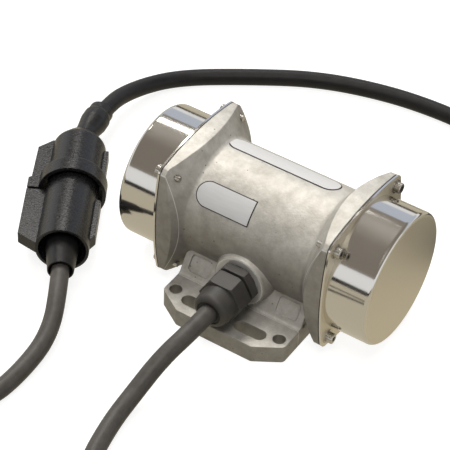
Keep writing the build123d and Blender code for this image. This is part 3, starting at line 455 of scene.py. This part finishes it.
# %% Fasteners, bearings, rotor and weights
RINGS = (12, 1, 1)
SHEETS = (60, 0.2, 0.2)
finish = worked_metal("stainless_screw", "#A9A6A0", "#C6C3BD", 1.5, (0.18, 0.34))
wear(finish, "left_cover_screws", "right_cover_screws", "left_cover_washers",
     "right_cover_washers")
finish = worked_metal("zinc_plated_steel", "#A5A39A", "#BEBBAE", 2.5, (0.25, 0.4))
wear(finish, "left_shield_screws", "right_shield_screws", "left_fixed_weight",
     "right_fixed_weight", "left_adjustable_weight", "right_adjustable_weight")
finish = worked_metal("black_oxide_steel", "#1D1D1F", "#2C2B2C", 1.5, (0.35, 0.5))
wear(finish, "left_fixed_weight_set_screw", "right_fixed_weight_set_screw",
     "left_adjustable_weight_clamp_screw", "right_adjustable_weight_clamp_screw",
     "left_shaft_retaining_clip", "right_shaft_retaining_clip")
finish = worked_metal("turned_aluminium", "#B4B2AD", "#CBC9C4", 1.2, (0.25, 0.42), RINGS)
wear(finish, "left_bearing_shield", "right_bearing_shield")
finish = worked_metal("ground_steel", "#B7B6B3", "#CFCDC9", 0.9, (0.14, 0.26), RINGS)
wear(finish, "rotor_shaft", "left_fixed_weight_key", "right_fixed_weight_key")
finish = worked_metal("polished_bearing_steel", "#C4C3C1", "#D9D8D5", 3.0, (0.05, 0.12))
wear(finish, "left_bearing_balls", "right_bearing_balls", "left_bearing_outer_ring",
     "right_bearing_outer_ring", "left_bearing_inner_ring", "right_bearing_inner_ring")
finish = worked_metal("pressed_brass", "#A88D4E", "#C2A765", 2.0, (0.25, 0.4))
wear(finish, "left_bearing_cage", "right_bearing_cage", "connector_socket_contacts")
finish = worked_metal("nickel_plated_brass", "#B5B0A2", "#CCC8BB", 2.0, (0.12, 0.22))
wear(finish, "connector_plug_pins", "mains_plug_pins")
# Laminations are half a millimetre thick, too fine to show, so they are drawn twice as thick.
finish = worked_metal("stacked_silicon_steel", "#4B4A4A", "#8B8A88", 60, (0.35, 0.55), SHEETS)
wear(finish, "stator_core", "rotor_core")
finish = worked_metal("cast_rotor_aluminium", "#A6A4A0", "#C0BEBA", 1.8, (0.4, 0.55))
wear(finish, "rotor_cage")
# Enamelled copper: the lacquer over the wire darkens and glazes it.
finish = worked_metal("enamelled_copper", "#7A3A1E", "#B0622F", 1.1, (0.2, 0.4), (1, 0.3, 0.3),
                      0.9)
wear(finish, "stator_winding")

# %% [markdown]
# ## Bare plates on the barrel
# Two thin aluminium foil plates are glued to the barrel, each with a dark printed rim. Here they stay
# bare. A flat plate is a stretched circle, which gives its round ends; a square end is the same
# circle with that half of it pushed into two corners. The flat shape is sliced lengthwise, so that it
# can bend, thickened, and then wrapped on the barrel: its height on the sheet becomes an angle.

# %% From a loose shape to an object
def put_in_scene(name, shape, material):
    """Object made of a finished bmesh shape, which is freed."""
    mesh = bpy.data.meshes.new(name)
    shape.to_mesh(mesh)
    shape.free()
    mesh.materials.append(material)
    made = bpy.data.objects.new(name, mesh)
    bpy.context.scene.collection.objects.link(made)
    return made


# %% A plate wrapped on the barrel
SHAFT_HEIGHT = 38.7
BARREL_R = 30.4
ROUND_END_STEPS = 50
SLICES = 12
SAME_SPOT = 0.001


def barrel_plate(name, ends, angles, thick, margin, square_end, finish):
    """Thin plate on the barrel between two stations and two angles from the top, in degrees."""
    low, high = [radians(a) * BARREL_R for a in angles]
    low, high = low + margin, high - margin
    start, end = ends[0] + margin, ends[1] - margin
    half = (high - low) / 2
    shape = bmesh.new()
    bmesh.ops.create_circle(shape, cap_ends=True, segments=ROUND_END_STEPS, radius=half)
    for vert in shape.verts:
        if vert.co.x < 0:
            vert.co.x += start + half
        elif square_end:
            vert.co.x = end
            vert.co.y = half if vert.co.y > 0 else -half
        else:
            vert.co.x += end - half
        vert.co.y += (low + high) / 2
    bmesh.ops.remove_doubles(shape, verts=shape.verts, dist=SAME_SPOT)
    for i in range(1, SLICES):
        everything = shape.verts[:] + shape.edges[:] + shape.faces[:]
        cut = (0, low + (high - low) * i / SLICES, 0)
        bmesh.ops.bisect_plane(shape, geom=everything, plane_co=cut, plane_no=(0, 1, 0))
    bmesh.ops.solidify(shape, geom=shape.faces[:], thickness=thick)
    for vert in shape.verts:
        angle = vert.co.y / BARREL_R
        reach = BARREL_R + abs(vert.co.z)
        vert.co = (vert.co.x * MM, -reach * sin(angle) * MM,
                   (SHAFT_HEIGHT + reach * cos(angle)) * MM)
    bmesh.ops.recalc_face_normals(shape, faces=shape.faces)
    made = put_in_scene(name, shape, finish)
    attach(made, "frame")
    print(name, len(made.data.polygons), "faces")


# %% Plates and their rims
RIM_THICK, PLATE_THICK = 0.20, 0.26
FRONT_ENDS, FRONT_ANGLES, FRONT_RIM_WIDTH = (-32.5, -1.0), (34.0, 59.5), 0.5
TOP_ENDS, TOP_ANGLES, TOP_RIM_WIDTH = (-35.0, 28.0), (-33.0, -8.0), 0.6
foil = worked_metal("aluminium_foil_satin", "#D4D4D5", "#E2E2E2", 1.2, (0.4, 0.52), (0.15, 1, 1),
                    0.0)
ink = moulded("screen_printed_ink", "#17181B", "#222327", 0.8, (0.45, 0.55), 0.02)
barrel_plate("front_plate_rim", FRONT_ENDS, FRONT_ANGLES, RIM_THICK, 0, True, ink)
barrel_plate("front_plate", FRONT_ENDS, FRONT_ANGLES, PLATE_THICK, FRONT_RIM_WIDTH, True, foil)
barrel_plate("top_plate_rim", TOP_ENDS, TOP_ANGLES, RIM_THICK, 0, False, ink)
barrel_plate("top_plate", TOP_ENDS, TOP_ANGLES, PLATE_THICK, TOP_RIM_WIDTH, False, foil)

# %% [markdown]
# ## Studio
# The floor and the world are pale. Rays from the camera, and rays that bounce off or pass through
# something glossy, see plain white there; all other rays see the dimmer light that models the motor,
# so the white background costs no contrast. The floor still darkens where the motor shades it. The
# Standard view transform keeps white at white, where a filmic one would turn it grey.

# %% Floor and world
def sees_white(tree):
    """1 for camera, glossy and transmission rays, 0 for the others."""
    path = add(tree, "ShaderNodeLightPath").outputs
    first = calc(tree, "MAXIMUM", {}, {0: path["Is Camera Ray"], 1: path["Is Glossy Ray"]})
    return calc(tree, "MAXIMUM", {}, {0: first, 1: path["Is Transmission Ray"]})


def stage_sheet(name, size, place, material):
    """Flat level sheet of the studio."""
    shape = bmesh.new()
    bmesh.ops.create_grid(shape, x_segments=1, y_segments=1, size=0.5)
    bmesh.ops.transform(shape, matrix=Matrix.Translation(place) @ Matrix.Diagonal((*size, 1, 1)),
                        verts=shape.verts)
    made = put_in_scene(name, shape, material)
    return made


paper = bpy.data.materials.new("studio_paper")
tree = empty_tree(paper)
lift = calc(tree, "MULTIPLY", {1: 0.86}, {0: sees_white(tree)})
matt = add(tree, "ShaderNodeBsdfPrincipled",
           {"Base Color": colour("#9A9A98"), "Roughness": 0.9, "Emission Color": (1, 1, 1, 1)},
           {"Emission Strength": lift})
add(tree, "ShaderNodeOutputMaterial", links={"Surface": matt.outputs[0]})
stage_sheet("studio_floor", (12, 12), (0, 0, -0.0002), paper)

bpy.context.scene.view_settings.view_transform = "Standard"
world = bpy.data.worlds.new("studio_world")
bpy.context.scene.world = world
tree = empty_tree(world)
strength = spread(tree, sees_white(tree), (0.10, 1.0))
sky = add(tree, "ShaderNodeBackground", {"Color": (1, 1, 1, 1)}, {"Strength": strength})
add(tree, "ShaderNodeOutputWorld", links={"Surface": sky.outputs[0]})

# %% [markdown]
# ## Lamps and what the mirrors see
# A broad lamp above and behind models the barrel from a bright top to a dull front, and a steeper one
# in front lights the foot's top but only grazes its sides. A polished cover shows its surroundings
# rather than its colour, and in a white void it would look like paper. So cards that only glossy rays
# see stand round it: a dim ceiling below the lamps, which hides them, a pale window with a dark sill
# at the back, a softbox for the highlights, a dark skirting in front, and a warm table top.

# %% Lamps
AIM = (0, 0, 0.03)


def lamp(name, place, size, power, tint):
    """Square area lamp at a place, aimed at the motor."""
    data = bpy.data.lights.new(name, "AREA")
    data.size = size
    data.energy = power
    data.color = colour(tint)[:3]
    made = bpy.data.objects.new(name, data)
    made.location = place
    made.rotation_euler = (Vector(AIM) - Vector(place)).to_track_quat("-Z", "Y").to_euler()
    bpy.context.scene.collection.objects.link(made)


lamp("key_lamp", (-0.73, 0.60, 1.66), 1.0, 30, "#FFFCF6")
lamp("top_lamp", (0.25, -0.70, 1.75), 0.7, 12, "#FFFDFA")

# %% Cards for the mirrors
def card_paint(name, code, strength):
    """Even glow of a studio card."""
    made = bpy.data.materials.new(name)
    tree = empty_tree(made)
    glow = add(tree, "ShaderNodeEmission", {"Color": colour(code), "Strength": strength})
    add(tree, "ShaderNodeOutputMaterial", links={"Surface": glow.outputs[0]})
    return made


def mirror_card(name, size, place, turn, code, glow=1.0):
    """Card of one colour, turned about X by degrees, that only glossy rays see."""
    card = stage_sheet(name, size, (0, 0, 0), card_paint(name + "_paint", code, glow))
    card.visible_camera = False
    card.visible_diffuse = False
    card.visible_shadow = False
    card.visible_transmission = False
    card.location = place
    card.rotation_euler = (radians(turn), 0, 0)


mirror_card("studio_ceiling", (5.0, 4.4), (0, -0.45, 1.5), 0, "#8D857B")
mirror_card("studio_window", (5.0, 0.9), (0, 1.6, 0.95), 90, "#CFD6E4")
mirror_card("studio_softbox", (0.3, 0.2), (-0.66, 0.95, 1.05), 45, "#FFFFFF", 7.0)
mirror_card("studio_skirting", (6.0, 0.26), (0, -2.2, 0.13), 90, "#24211E")
mirror_card("studio_table", (6.0, 3.8), (0, 0, -0.0001), 0, "#CFC6B1")
mirror_card("studio_sill", (6.0, 0.22), (0, 1.7, 0.11), 90, "#5E574E")
